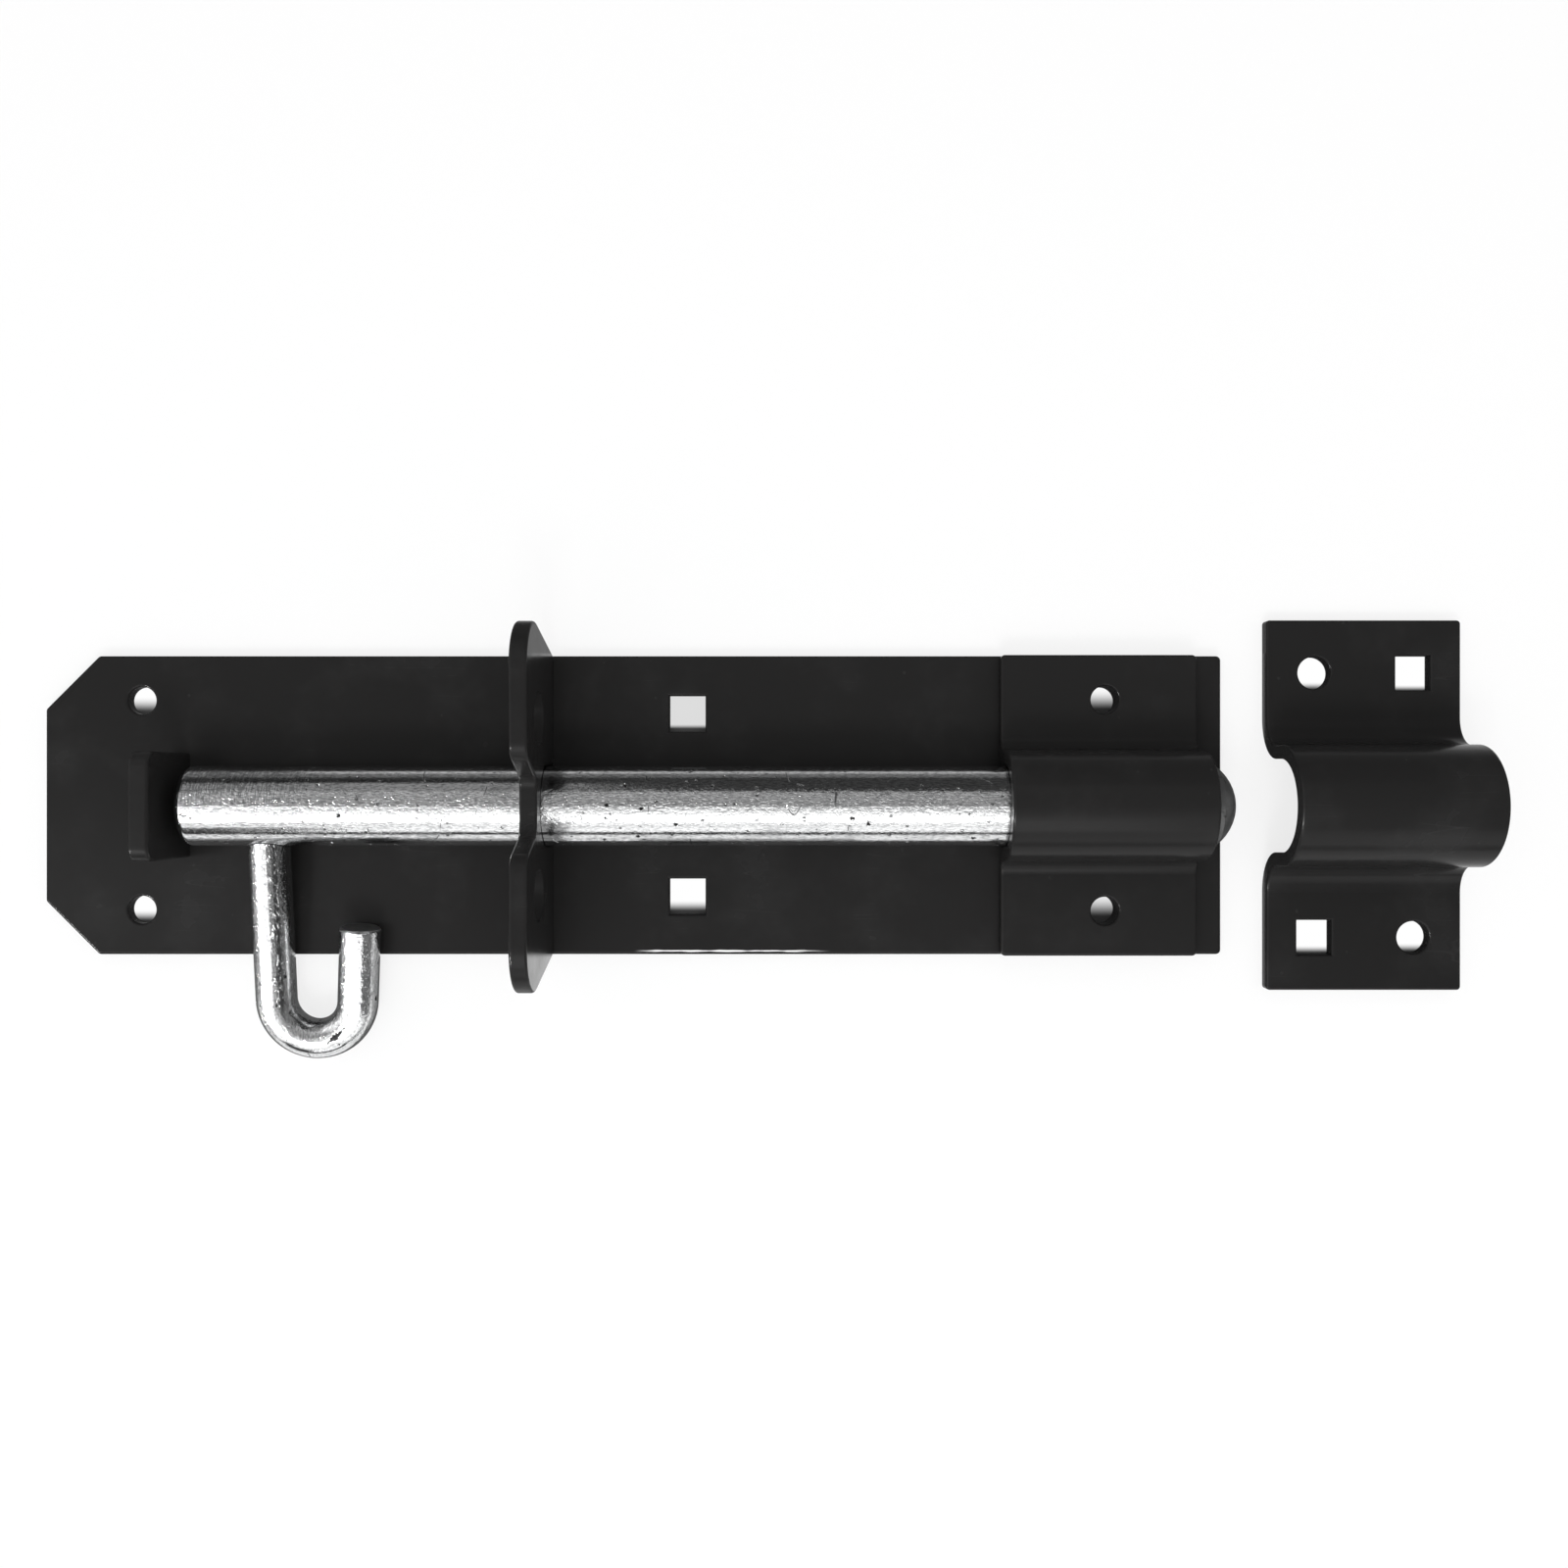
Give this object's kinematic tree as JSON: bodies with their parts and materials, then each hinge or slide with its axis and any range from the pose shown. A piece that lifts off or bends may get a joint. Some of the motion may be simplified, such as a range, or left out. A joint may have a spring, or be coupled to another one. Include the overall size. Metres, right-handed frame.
{
  "type": "padbolt",
  "caption": "Black enamelled padbolt: round zinc-plated bolt slides through a saddle, hook handle turns past an eared lock plate, loose bent keeper takes the nose.",
  "frame": {"origin": "centre of the back plate's rear face", "axes": "+X along the bolt, the way it is shot towards the keeper; +Y across the plate, away from the resting handle; +Z out of the plate's front"},
  "size_m": [0.3059, 0.0942, 0.0357],
  "materials": {
    "black_enamel": "gloss stoved enamel",
    "zinc_plate": "bright zinc plate"
  },
  "bodies": {
    "plate": {"back_plate": "black_enamel", "end_stop": "black_enamel", "lock_plate": "black_enamel", "front_saddle": "black_enamel", "keeper": "black_enamel"},
    "bolt": {"bolt_bar": "zinc_plate"},
    "handle": {"pull_handle": "zinc_plate"}
  },
  "joints": [
    {"name": "bolt_slide", "type": "slide", "parent": "plate", "child": "bolt", "axis": [1, 0, 0], "range_m": [-0.0028, 0.032]},
    {"name": "handle_turn", "type": "hinge", "parent": "bolt", "child": "handle", "pos_m": [-0.0759, 0, 0.0117], "axis": [-1, 0, 0], "range_deg": [0, 195]}
  ]
}
